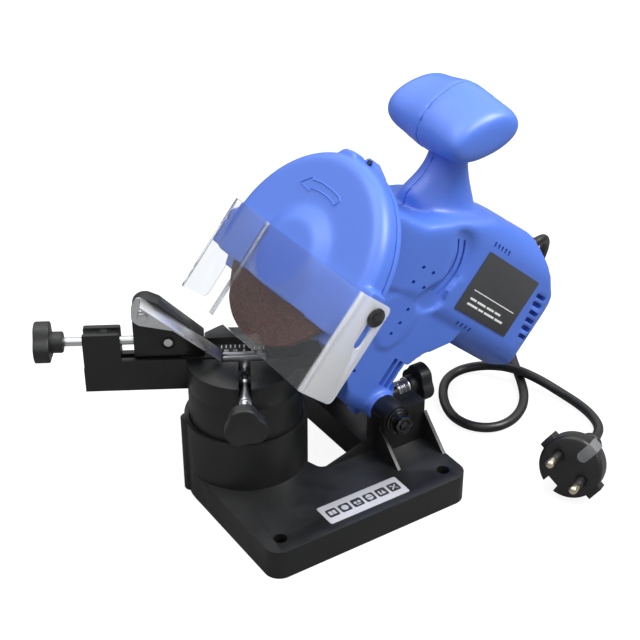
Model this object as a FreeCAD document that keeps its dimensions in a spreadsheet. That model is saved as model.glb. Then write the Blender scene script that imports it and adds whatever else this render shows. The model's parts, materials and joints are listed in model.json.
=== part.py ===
"""Electric chainsaw sharpener: tower base, turning chain vise and tilting grinding head."""
import FreeCAD, Part
import math
import os

from FreeCAD import Placement, Rotation, Vector

doc = FreeCAD.newDocument("ChainsawSharpener")
sheet = doc.addObject("Spreadsheet::Sheet", "dims")

# Driving dimensions in millimetres and degrees. World frame: origin midway between the two
# bench bolt holes on the base's bottom face, +X along the holes, +Y to the back, +Z up.
DIMENSIONS = [
    ("plate_width", 131), ("plate_front", -11), ("plate_back", 39.5), ("plate_height", 18),
    ("skin", 3), ("corner", 9), ("bolt_x", 54.5), ("bolt_hole_radius", 3.75),
    ("arm_inner", 31.2), ("arm_back", 121),
    ("tower_x", -30.5), ("tower_y", 74.7), ("tower_radius", 35), ("tower_height", 48.5),
    ("tower_bore", 32.4), ("tower_web_low", 18), ("tower_web_top", 22),
    ("hinge_x", 41), ("hinge_z", 42), ("hinge_pin_radius", 3), ("boss_radius", 9),
    ("block_top", 44.5), ("block_left", 32), ("block_right", 64), ("block_front", 31.5),
    ("block_back", 44.2), ("boss_front", 27), ("boss_back", 40.2),
    ("vise_angle", -30), ("turret_radius", 32), ("turret_low", 22.3), ("seam_height", 69.5),
    ("deck_height", 84), ("rail_top", 86), ("rail_thick", 1.5), ("rail_gap", 2.4),
    ("rail_left", -12), ("rail_right", 13.4), ("clamp_height", 77.5), ("slot_half", 3.4),
    ("rail_arm_left", -89), ("rail_arm_front", 1.8), ("rail_arm_back", 13.4),
    ("rail_arm_low", 63), ("rail_arm_top", 82.5), ("screw_v", 7.4), ("screw_z", 92.8),
    ("screw_radius", 2.5), ("knob_radius", 11.6), ("holder_top", 99.5), ("holder_right", -68),
    ("carrier_left", -60.6), ("carrier_right", -22), ("pivot_u", -54.6), ("pivot_z", 111),
    ("head_tilt", 40), ("wheel_plane", -86), ("spindle_n", 48.5), ("wheel_radius", 50),
    ("wheel_thick", 3.2), ("wheel_bore", 8), ("spindle_radius", 5),
    ("guard_radius", 63.6), ("guard_front", -94), ("guard_back", -78), ("guard_wall", 2.5),
    ("guard_chord", 27), ("motor_n", 83.5), ("motor_radius", 29), ("housing_half", 32),
    ("case_half", 30), ("case_front", -77.8), ("case_rear", 87), ("case_top", 131),
    ("case_bottom", 50), ("barrel_radius", 9.3), ("barrel_half", 34.2),
    ("gear_teeth", 46), ("pinion_teeth", 24), ("gear_module", 1),
    ("grip_squareness", 2.2), ("visor_front", -100), ("visor_thick", 1.5), ("visor_low", -4),
    ("visor_high", 56), ("visor_right", -69.7), ("visor_left", 67.5), ("visor_screw_m", -83),
    ("visor_screw_n", 48), ("visor_fold_m", -93.5), ("stop_y", 65), ("stop_z", 31), ("cord_radius", 3),
]
for row, (alias, value) in enumerate(DIMENSIONS, start=1):
    sheet.set(f"A{row}", alias)
    sheet.set(f"B{row}", str(value))
    sheet.setAlias(f"B{row}", alias)
doc.recompute()


def dim(alias):
    return float(getattr(sheet, alias))


X_AXIS, Y_AXIS, Z_AXIS = Vector(1, 0, 0), Vector(0, 1, 0), Vector(0, 0, 1)
WORLD = Placement()
# Vise frame: u along the chain rails, v to the back, z up, on the tower's axis.
VISE = Placement(Vector(dim("tower_x"), dim("tower_y"), 0), Rotation(Z_AXIS, dim("vise_angle")))
# Head frame: m along the motor axis, y to the back, n away from the hinge, on the hinge axis.
HEAD = Placement(Vector(dim("hinge_x"), dim("tower_y"), dim("hinge_z")), Rotation(Y_AXIS, dim("head_tilt")))
NODES = {}


def polygon(points, radius=0.0):
    """Closed outline of lines, its corners rounded with arcs; a third number rounds that corner."""
    edges = []
    rounded = []
    count = len(points)
    for index, point in enumerate(points):
        here = Vector(point[0], point[1], 0)
        before = Vector(*points[index - 1][:2], 0)
        after = Vector(*points[(index + 1) % count][:2], 0)
        size = point[2] if len(point) > 2 else radius
        if size <= 0:
            rounded.append((here, here, None))
            continue
        back = (before - here).normalize()
        ahead = (after - here).normalize()
        half = back.getAngle(ahead) / 2
        reach = size / math.tan(half)
        bisector = (back + ahead).normalize()
        middle = here + bisector * (size / math.sin(half) - size)
        rounded.append((here + back * reach, here + ahead * reach, middle))
    for index, (start, end, middle) in enumerate(rounded):
        if middle is not None:
            edges.append(Part.Arc(start, middle, end))
        following = rounded[(index + 1) % count][0]
        if (following - end).Length > 1e-6:
            edges.append(Part.LineSegment(end, following))
    return edges


def rectangle(x_low, x_high, y_low, y_high, radius=0.0):
    corners = [(x_low, y_low), (x_high, y_low), (x_high, y_high), (x_low, y_high)]
    return polygon(corners, radius)


def circle(x, y, radius):
    return [Part.Circle(Vector(x, y, 0), Z_AXIS, radius)]


def hexagon(x, y, flats, turn=0.0):
    reach = flats / math.sqrt(3)
    angles = [math.radians(turn + 60 * side) for side in range(6)]
    return polygon([(x + reach * math.cos(a), y + reach * math.sin(a)) for a in angles])


class Piece:
    """One sub-part as a PartDesign body: sketches on its origin planes, padded, cut or turned.

    Low and high ends are expressions of the sheet's cells, measured along the plane's axis.
    """

    PLANES = {"z": "XY_Plane", "y": "XZ_Plane", "x": "YZ_Plane"}

    def __init__(self, label, frame=WORLD):
        self.body = doc.addObject("PartDesign::Body", label)
        self.body.Label = label
        self.body.Placement = frame
        self.frame = frame
        NODES[label] = self.body

    def sketch(self, axis, edges, start):
        sketch = self.body.newObject("Sketcher::SketchObject", f"{self.body.Name}_sketch")
        plane = [f for f in self.body.Origin.OriginFeatures if f.Role == self.PLANES[axis]][0]
        sketch.AttachmentSupport = [(plane, "")]
        sketch.MapMode = "FlatFace"
        sketch.addGeometry(edges, False)
        sketch.setExpression("AttachmentOffset.Base.z", start)
        return sketch

    def add(self, axis, edges, low, high):
        start = f"-({high})" if axis == "y" else low
        pad = self.body.newObject("PartDesign::Pad", f"{self.body.Name}_pad")
        pad.Profile = self.sketch(axis, edges, start)
        pad.setExpression("Length", f"({high}) - ({low})")
        return self

    def cut(self, axis, edges, low, high):
        start = f"-({low})" if axis == "y" else high
        pocket = self.body.newObject("PartDesign::Pocket", f"{self.body.Name}_pocket")
        pocket.Profile = self.sketch(axis, edges, start)
        pocket.setExpression("Length", f"({high}) - ({low})")
        return self

    def turn(self, points, remove=False):
        """Profile of (radius, height) points turned about the body's own Z axis."""
        kind = "PartDesign::Groove" if remove else "PartDesign::Revolution"
        turned = self.body.newObject(kind, f"{self.body.Name}_turn")
        turned.Profile = self.sketch("y", polygon(points), "0")
        axis = [f for f in self.body.Origin.OriginFeatures if f.Role == "Z_Axis"][0]
        turned.ReferenceAxis = (axis, [""])
        turned.Angle = 360
        return self


def along(frame, point, direction):
    """Frame whose own Z runs in a direction from a point, both given in another frame."""
    return frame.multiply(Placement(Vector(*point), Rotation(Z_AXIS, Vector(*direction))))


def union(label, parts):
    """Several primitives kept together as one node."""
    fused = doc.addObject("Part::MultiFuse", label)
    fused.Shapes = parts
    fused.Label = label
    NODES[label] = fused
    return fused


def cylinder(name, radius, height, frame):
    """Part cylinder with expressions for its sizes, its foot at the frame's origin."""
    rod = doc.addObject("Part::Cylinder", name)
    rod.setExpression("Radius", radius)
    rod.setExpression("Height", height)
    rod.Placement = frame
    return rod


def feature(label, shape, frame=WORLD):
    node = doc.addObject("Part::Feature", label)
    node.Label = label
    node.Shape = shape
    node.Placement = frame
    NODES[label] = node
    return node


# ---- Base: plate, tower, hinge blocks ----

def make_base():
    half = dim("plate_width") / 2
    front, back = dim("plate_front"), dim("plate_back")
    inner, rear = dim("arm_inner"), dim("arm_back")
    tx, ty = dim("tower_x"), dim("tower_y")
    skin, corner = dim("skin"), dim("corner")
    hx, hz = dim("hinge_x"), dim("hinge_z")
    bolt_x = dim("bolt_x")
    base = Piece("base_casting")
    base.add("z", polygon([
        (-half, front, corner), (half, front, corner), (half, rear, 6), (inner, rear, 6),
        (inner, back, 2), (-2.5, back, 5), (-6, 50), (tx, ty), (-half, ty),
    ]), "0", "dims.plate_height")
    base.add("z", circle(tx, ty, dim("tower_radius")), "0", "dims.tower_height")
    base.add("z", circle(-half + 4.5, ty + 11.6, 4.8), "0", "dims.tower_height")
    bosses = circle(-bolt_x, 0, 6.8) + circle(bolt_x, 0, 6.8)
    base.cut("z", rectangle(-half + skin, half - skin, front + skin, back - skin, 6) + bosses,
             "0", "dims.plate_height - dims.skin")
    base.cut("z", rectangle(inner + skin, half - skin, back + skin, rear - skin, 4),
             "0", "dims.plate_height - dims.skin")
    base.cut("z", circle(tx, ty, dim("tower_bore")), "dims.tower_web_top", "dims.tower_height")
    base.cut("z", circle(tx, ty, dim("tower_radius") - skin), "0", "dims.tower_web_low")
    base.cut("z", circle(tx, ty, 4.2), "0", "dims.tower_web_top")
    hole = dim("bolt_hole_radius")
    base.cut("z", circle(-bolt_x, 0, hole) + circle(bolt_x, 0, hole), "0", "dims.plate_height")
    # The hinge blocks stand in front of and behind the head's barrel.
    depth = dim("block_back") - dim("block_front")
    left, right = dim("block_left"), dim("block_right")
    far_low = 2 * ty - dim("block_back")
    for low in (dim("block_front"), far_low):
        base.add("z", rectangle(left, right, low, low + depth), "dims.plate_height", "dims.block_top")
    base.add("y", circle(hx, hz, dim("boss_radius")), "dims.boss_front", "dims.boss_back")
    base.add("y", circle(hx, hz, dim("boss_radius")),
             "2 * dims.tower_y - dims.boss_back", "2 * dims.tower_y - dims.boss_front")
    base.cut("y", circle(hx, hz, dim("barrel_radius") + 0.5),
             "dims.boss_back", "2 * dims.tower_y - dims.boss_back")
    base.cut("y", circle(hx, hz, dim("hinge_pin_radius") + 0.05), "0", "2 * dims.tower_y")
    # Gussets in front of the block, and the long rib on the plate's rear edge.
    top = dim("plate_height")
    block_front = dim("block_front")
    base.add("x", polygon([(13.2, top), (block_front, top), (block_front, 35.3)]), "32.5", "34.5")
    base.add("x", polygon([(11.7, top), (block_front, top), (block_front, 37)]), "63.4", "65.4")
    base.add("y", polygon([(1, top), (left, top), (left, 27)]), "37.6", "dims.plate_back")
    # Lug that the depth stop screw threads through.
    base.add("x", polygon([(58, top), (72, top), (72, 36, 4), (58, 36, 4)]), "58", "65.5")
    base.cut("x", circle(dim("stop_y"), dim("stop_z"), dim("screw_radius") + 0.05), "57", "66")


def make_base_fittings():
    icon = Piece("icon_plate")
    icon.add("z", rectangle(-25.5, 27.2, -5.6, 9.8, 1.2), "dims.plate_height", "dims.plate_height + 0.5")
    hinge = (dim("hinge_x"), 0, dim("hinge_z"))
    nose = dim("boss_front")
    tail = 2 * dim("tower_y") - nose
    bolt = Piece("hinge_bolt", along(WORLD, hinge, (0, 1, 0)))
    bolt.add("z", circle(0, 0, dim("hinge_pin_radius")), str(nose - 8.2), str(tail + 1.6))
    bolt.add("z", hexagon(0, 0, 10), str(tail + 1.6), str(tail + 5.6))
    bore = dim("hinge_pin_radius") + 0.05
    washers = []
    for name, low in (("front", nose - 1.6), ("back", tail)):
        ring = Piece(f"hinge_washer_{name}", along(WORLD, hinge, (0, 1, 0)))
        ring.add("z", circle(0, 0, 8) + circle(0, 0, bore), str(low), str(low + 1.6))
        washers.append(NODES.pop(f"hinge_washer_{name}"))
    union("hinge_washers", washers)
    collar = Piece("hinge_collar", along(WORLD, hinge, (0, 1, 0)))
    collar.add("z", circle(0, 0, 6.6) + circle(0, 0, bore), str(nose - 2.9), str(nose - 1.6))
    nut = Piece("hinge_nut", along(WORLD, hinge, (0, 1, 0)))
    nut.add("z", hexagon(0, 0, 10.4, 12) + circle(0, 0, bore), str(nose - 7.4), str(nose - 2.9))


def knob_outline(radius):
    """Three wide lobes with three shallow hollows between them."""
    points = []
    steps = 36
    for step in range(steps):
        angle = 2 * math.pi * step / steps
        reach = radius * (0.9 + 0.1 * math.cos(3 * angle))
        points.append(Vector(reach * math.cos(angle), reach * math.sin(angle), 0))
    spline = Part.BSplineCurve()
    spline.interpolate(points, PeriodicFlag=True)
    return [spline]


def make_knob(label, frame, hub_from, disc_from, disc_to):
    """Knob with a round hub, its bore holding the end of its screw."""
    knob = Piece(label, frame)
    knob.add("z", knob_outline(dim("knob_radius")), disc_from, disc_to)
    knob.add("z", circle(0, 0, 6), hub_from, disc_from)
    return knob


def make_depth_stop():
    """Screw through the base's lug that the barrel's tab comes down on."""
    seat = along(WORLD, (0, dim("stop_y"), dim("stop_z")), (1, 0, 0))
    screw = Piece("depth_screw", seat)
    screw.add("z", circle(0, 0, dim("screw_radius")), "45", "81")
    washer = Piece("depth_washer", seat)
    washer.add("z", circle(0, 0, 5.6) + circle(0, 0, dim("screw_radius") + 0.1), "74.4", "75.4")
    knob = make_knob("depth_knob", seat, "75.6", "81", "89")
    knob.cut("z", circle(0, 0, dim("screw_radius")), "75.6", "81")
    # The coil is a chain of short arcs through points of its helix.
    reach, wire, pitch, height = 4.2, 0.55, 2.2, 7.6
    arcs = round(6 * height / pitch)

    def on_coil(step):
        angle = 2 * math.pi * height / pitch * step / arcs
        return Vector(reach * math.cos(angle), reach * math.sin(angle), height * step / arcs)

    chain = [Part.Arc(on_coil(i), on_coil(i + 0.5), on_coil(i + 1)).toShape() for i in range(arcs)]
    start = Part.makeCircle(wire, on_coil(0), chain[0].tangentAt(chain[0].FirstParameter))
    spring = Part.Wire(chain).makePipeShell([Part.Wire(start)], True, False)
    feature("depth_spring", spring, seat.multiply(Placement(Vector(0, 0, 66.2), Rotation())))


# ---- Chain vise: turret, rail arm, rails, clamp ----

def make_turret():
    radius = dim("turret_radius")
    barrel = Piece("turret_barrel", VISE)
    barrel.add("z", circle(0, 0, radius), "dims.turret_low", "dims.seam_height")
    barrel.cut("z", circle(0, 0, radius - 3) + circle(0, 0, 9), "dims.turret_low", "dims.seam_height - 4")
    barrel.cut("z", circle(0, 0, 4.05), "dims.turret_low", "dims.seam_height")
    slot = dim("slot_half")
    barrel.cut("z", rectangle(-slot, slot, -radius - 1, -22), "dims.seam_height - 1.5", "dims.seam_height")

    front, back = dim("rail_arm_front"), dim("rail_arm_back")
    left = dim("rail_arm_left")
    body = Piece("vise_body", VISE)
    body.add("z", circle(0, 0, radius), "dims.seam_height", "dims.deck_height")
    body.add("z", polygon([(0, -13), (40, -13, 9), (44.4, 2, 20), (42, 18.6, 9), (0, 18.6)]),
             "dims.seam_height + 2", "dims.deck_height")
    body.add("z", polygon([(-22, 14), (31, 14), (30, 22, 6), (12, 28.5, 12), (-12, 28.5, 8), (-22, 20, 2)]),
             "dims.deck_height - 4", "dims.deck_height + 4.5")
    low, top = dim("rail_arm_low"), dim("rail_arm_top")
    body.add("y", polygon([
        (left, low), (-radius - 0.1, low), (-radius - 0.1, dim("seam_height")), (-10, dim("seam_height")),
        (-10, top), (left, top, 5),
    ]), "dims.rail_arm_front", "dims.rail_arm_back")
    # Holder block of the advance screw: two walls with a slot between them.
    right = dim("holder_right")
    body.add("y", rectangle(left + 0.3, right, top - 6, dim("holder_top"), 1.2),
             "dims.rail_arm_front", "dims.rail_arm_back")
    screw_v = dim("screw_v")
    body.cut("z", rectangle(left - 1, right + 1, screw_v - 2.9, screw_v + 2.9),
             "dims.screw_z - 2.9", "dims.holder_top")
    body.cut("x", hexagon(screw_v, dim("screw_z"), 8.4, 30), "-79.5", "-75.5")
    # Guide groove that the carrier's tongue runs in, hollow underside, rail slot and clamp slot.
    body.cut("z", rectangle(right, -24, 5.4, 9.6), "dims.rail_arm_top - 5", "dims.rail_arm_top + 3")
    body.cut("z", rectangle(left + 3, -34, front + 2.2, back - 2.2),
             "dims.rail_arm_low", "dims.rail_arm_low + 9")
    body.cut("z", rectangle(-31, 45, -0.9, 0.9), "dims.deck_height - 6", "dims.deck_height + 5")
    body.cut("z", rectangle(dim("rail_left") - 0.3, dim("rail_right") + 0.3, -4.4, 3),
             "dims.seam_height + 4.5", "dims.deck_height")
    body.cut("z", rectangle(-slot, slot, -radius - 1, -3), "dims.seam_height", "dims.deck_height")
    body.cut("z", circle(0, 0, 7.8), "dims.seam_height", "dims.seam_height + 3.2")
    body.cut("z", rectangle(-33, -21.5, 14.0, 15.4), "dims.deck_height", "dims.deck_height + 5")


def make_vise_fittings():
    bolt = Piece("pivot_bolt", VISE)
    bolt.add("z", circle(0, 0, 4), "6", "dims.seam_height")
    bolt.add("z", hexagon(0, 0, 13), "dims.seam_height", "dims.seam_height + 2.9")
    washer = Piece("pivot_washer", VISE)
    washer.add("z", circle(0, 0, 9) + circle(0, 0, 4.05), "dims.tower_web_low - 1.6", "dims.tower_web_low")
    nut = Piece("pivot_nut", VISE)
    nut.add("z", hexagon(0, 0, 13) + circle(0, 0, 4.05), "8.4", "dims.tower_web_low - 1.6")

    gap = dim("rail_gap") / 2
    thick = dim("rail_thick")
    low = dim("seam_height") + 4.8
    left, right, top = dim("rail_left"), dim("rail_right"), dim("rail_top")
    outline = polygon([(left, low), (right - 2, low), (right - 2, top - 6, 1), (right, top - 5, 0.6),
                       (right, top, 0.8), (left, top, 0.8)])
    fixed = Piece("fixed_rail", VISE)
    fixed.add("y", outline, str(gap), str(gap + thick))
    jaw = Piece("moving_rail", VISE)
    jaw.add("y", outline, str(-gap - thick), str(-gap))
    scale = Piece("angle_scale", VISE)
    scale.add("z", rectangle(-13.2, 13.2, 5, 13.2, 0.4), "dims.deck_height", "dims.deck_height + 0.4")

    # Clamp stud: thin pin against the moving rail, cone and sleeve at the turret's wall, knob.
    seat = along(VISE, (0, 0, dim("clamp_height")), (0, -1, 0))
    tip = gap + thick
    stud = Piece("clamp_screw", seat)
    stud.turn([(0, tip + 0.02), (1.7, tip + 0.02), (1.7, 9), (2.4, 9), (2.4, 16), (1.5, 17), (1.5, 19),
               (3.3, 32), (3.3, 36), (2.5, 36), (2.5, 52), (0, 52)])
    nut = Piece("clamp_nut", seat)
    nut.add("z", rectangle(-3.35, 3.35, -3.9, 4.2) + circle(0, 0, 2.45), "10", "15.5")
    knob = make_knob("clamp_knob", seat, "46.5", "52.6", "60")
    knob.cut("z", circle(0, 0, 2.5), "46.5", "52")


def make_stop_carrier():
    """Block that slides on the rail arm and carries the pawl that holds a cutter in place."""
    left, right = dim("carrier_left"), dim("carrier_right")
    pu, pz = dim("pivot_u"), dim("pivot_z")
    rest = dim("deck_height") + 0.3
    screw_v, screw_z = dim("screw_v"), dim("screw_z")
    carrier = Piece("stop_carrier", VISE)
    carrier.add("y", polygon([
        (left, rest), (right, rest), (right, 95.5, 1.5), (pu + 9, pz + 6.6, 4), (pu + 1, pz + 10.5, 7),
        (left, pz + 6.5, 7),
    ]), "dims.rail_arm_front + 1.6", "dims.rail_arm_back")
    carrier.add("z", rectangle(left, -35, 5.6, 9.4), str(dim("rail_arm_top") - 4.6), str(rest))
    carrier.cut("x", circle(screw_v, screw_z, dim("screw_radius") + 0.06), str(left - 1), "-36")
    front = dim("rail_arm_front") + 1.6
    carrier.cut("y", circle(-41.6, screw_z, 4), str(front - 0.1), str(front + 1))
    carrier.cut("y", circle(-41.6, screw_z, 1.55), str(front), str(screw_v - 2.6))
    pin = Piece("carrier_screw", VISE)
    pin.add("y", circle(-41.6, screw_z, 1.5), str(front + 1), str(screw_v - 2.6))
    pin.add("y", circle(-41.6, screw_z, 2.5), str(front - 0.2), str(front + 1))
    carrier.cut("y", circle(pu, pz, 2.05), str(front), str(dim("rail_arm_back")))

    pivot = Piece("pawl_pivot", VISE)
    pivot.add("y", circle(pu, pz, 2), str(front - 1.4), str(dim("rail_arm_back")))
    pivot.add("y", hexagon(pu, pz, 5.5), str(front - 4), str(front - 1.4))

    # Pawl: a flat cheek on the pivot with its upper edge folded out over the chain line.
    fold = [(-54.8, 122.6), (-12.6, 87.9)]
    slope = math.atan2(fold[1][1] - fold[0][1], fold[1][0] - fold[0][0])
    nx, nz = -math.sin(slope), math.cos(slope)
    cheek = polygon([
        (fold[0][0] - 2, fold[0][1] + 1, 2), (fold[1][0], fold[1][1]), (fold[1][0] - 1, fold[1][1] - 1.6),
        (-36, 100.4, 12), (-57, 105, 3), (-61, 108, 5), (-60.4, 117, 5),
    ]) + circle(pu, pz, 2.1)
    pawl = Piece("stop_pawl", VISE)
    pawl.add("y", cheek, str(front - 1.2), str(front - 0.2))
    strip = polygon([
        (fold[0][0], fold[0][1]), (fold[1][0], fold[1][1]),
        (fold[1][0] - nx, fold[1][1] - nz), (fold[0][0] - nx, fold[0][1] - nz),
    ])
    pawl.add("y", strip, "-8.1", str(front - 0.2))


def make_advance_screw():
    seat = along(VISE, (0, dim("screw_v"), dim("screw_z")), (-1, 0, 0))
    screw = Piece("advance_screw", seat)
    screw.add("z", circle(0, 0, dim("screw_radius")), "37", "106")
    screw.turn([(2.0, 40.2), (3, 40.2), (3, 43), (2.0, 43)], remove=True)
    knob = make_knob("advance_knob", seat, "99.5", "106.3", "115")
    knob.cut("z", circle(0, 0, dim("screw_radius")), "99", "106")
    nut = Piece("advance_nut", VISE)
    ring = hexagon(dim("screw_v"), dim("screw_z"), 8, 30)
    nut.add("x", ring + circle(dim("screw_v"), dim("screw_z"), dim("screw_radius") + 0.05), "-79.4", "-75.6")


# ---- Grinding head ----

def gear_outline(teeth, module, phase):
    """Straight-sided teeth about a pitch circle, a little slack on each flank."""
    pitch = teeth * module / 2
    outer, root = pitch + 0.9 * module, pitch - 1.2 * module
    step = 2 * math.pi / teeth
    points = []
    for tooth in range(teeth):
        middle = tooth * step + phase
        for reach, offset in ((root, -0.30), (outer, -0.11), (outer, 0.11), (root, 0.30)):
            angle = middle + offset * step
            points.append((reach * math.cos(angle), reach * math.sin(angle)))
    return polygon(points)


def head_axis(n):
    """Frame on the head with its own Z along the motor axis at height n."""
    return HEAD.multiply(Placement(Vector(0, 0, n), Rotation(Y_AXIS, 90)))


def make_wheel_set():
    seat = head_axis(dim("spindle_n"))
    plane = dim("wheel_plane")
    half = dim("wheel_thick") / 2
    shaft = dim("spindle_radius")
    wheel = Piece("grinding_wheel", seat)
    wheel.add("z", circle(0, 0, dim("wheel_radius")) + circle(0, 0, dim("wheel_bore")),
              str(plane - half), str(plane + half))
    inner = Piece("inner_flange", seat)
    inner.turn([(shaft, plane + half), (16, plane + half), (16, plane + half + 1.6),
                (11, plane + half + 3), (shaft, plane + half + 3)])
    hub = Piece("wheel_bush", seat)
    hub.add("z", circle(0, 0, dim("wheel_bore")) + circle(0, 0, shaft), str(plane - half), str(plane + half))
    outer = Piece("outer_flange", seat)
    outer.turn([(shaft, plane - half - 2.6), (13, plane - half - 2.6), (16, plane - half - 1.4),
                (16, plane - half), (shaft, plane - half)])
    nut = Piece("wheel_nut", seat)
    nut.add("z", hexagon(0, 0, 16) + circle(0, 0, shaft), str(plane - half - 7), str(plane - half - 2.6))
    spindle = Piece("spindle", seat)
    spindle.add("z", circle(0, 0, shaft), str(plane - half - 8), "-28")
    gear = Piece("drive_gear", seat)
    gear.add("z", gear_outline(int(dim("gear_teeth")), dim("gear_module"), 0) + circle(0, 0, shaft), "-60", "-52")
    gear.cut("z", circle(0, 0, 20) + circle(0, 0, 9), "-60", "-57.5")
    bearings = [("spindle_bearing_front", -76, -68), ("spindle_bearing_rear", -36, -29)]
    for label, low, high in bearings:
        bearing = Piece(label, seat)
        bearing.add("z", circle(0, 0, 12) + circle(0, 0, shaft + 0.04), str(low), str(high))


def make_motor():
    seat = head_axis(dim("motor_n"))
    armature = Piece("armature", seat)
    pinion_phase = math.pi / dim("pinion_teeth")
    armature.add("z", circle(0, 0, 4), "-66", "82")
    armature.add("z", gear_outline(int(dim("pinion_teeth")), dim("gear_module"), pinion_phase), "-60", "-52")
    armature.add("z", circle(0, 0, 16.5), "2", "42")
    commutator = Piece("commutator", seat)
    commutator.add("z", circle(0, 0, 10) + circle(0, 0, 4), "48", "60")
    fan = Piece("cooling_fan", seat)
    fan.add("z", circle(0, 0, 26) + circle(0, 0, 4), "-11", "-9")
    for blade in range(9):
        angle = 2 * math.pi * blade / 9
        x, y = math.cos(angle), math.sin(angle)
        corners = [(9 * x - y, 9 * y + x), (25 * x - y, 25 * y + x),
                   (25 * x + y, 25 * y - x), (9 * x + y, 9 * y - x)]
        fan.add("z", polygon(corners), "-9.2", "-3")
    stator = Piece("stator", seat)
    stator.add("z", circle(0, 0, 28.95) + circle(0, 0, 17.2), "2", "42")
    for label, low, high in (("motor_bearing_front", -22, -15), ("motor_bearing_rear", 73, 80)):
        bearing = Piece(label, seat)
        bearing.add("z", circle(0, 0, 11) + circle(0, 0, 4.04), str(low), str(high))
    brush = Piece("carbon_brushes", seat)
    brush.add("z", rectangle(-2.5, 2.5, 10.05, 22), "51", "57")
    brush.add("z", rectangle(-2.5, 2.5, -22, -10.05), "51", "57")


def section(center, across, up, half_across, half_up, power=2.0):
    """Closed section of two half sizes: an ellipse, or squarer with a higher power."""
    points = []
    for step in range(24):
        angle = 2 * math.pi * step / 24
        cosine, sine = math.cos(angle), math.sin(angle)
        x = math.copysign(abs(cosine) ** (2 / power), cosine)
        y = math.copysign(abs(sine) ** (2 / power), sine)
        points.append(center + across * (half_across * x) + up * (half_up * y))
    spline = Part.BSplineCurve()
    spline.interpolate(points, PeriodicFlag=True)
    return Part.Wire([spline.toShape()])


def extruded(edges, axis, low, high):
    """Outline in the head's side (y), end (x) or top (z) plane, extruded between two ends."""
    face = Part.Face(Part.Wire(Part.sortEdges([edge.toShape() for edge in edges])[0]))
    if axis == "z":
        face.translate(Vector(0, 0, low))
        return face.extrude(Vector(0, 0, high - low))
    if axis == "y":
        face = face.transformed(Placement(Vector(0, high, 0), Rotation(X_AXIS, 90)).toMatrix())
        return face.extrude(Vector(0, low - high, 0))
    face = face.transformed(Placement(Vector(low, 0, 0), Rotation(Vector(1, 1, 1), 120)).toMatrix())
    return face.extrude(Vector(high - low, 0, 0))


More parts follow.
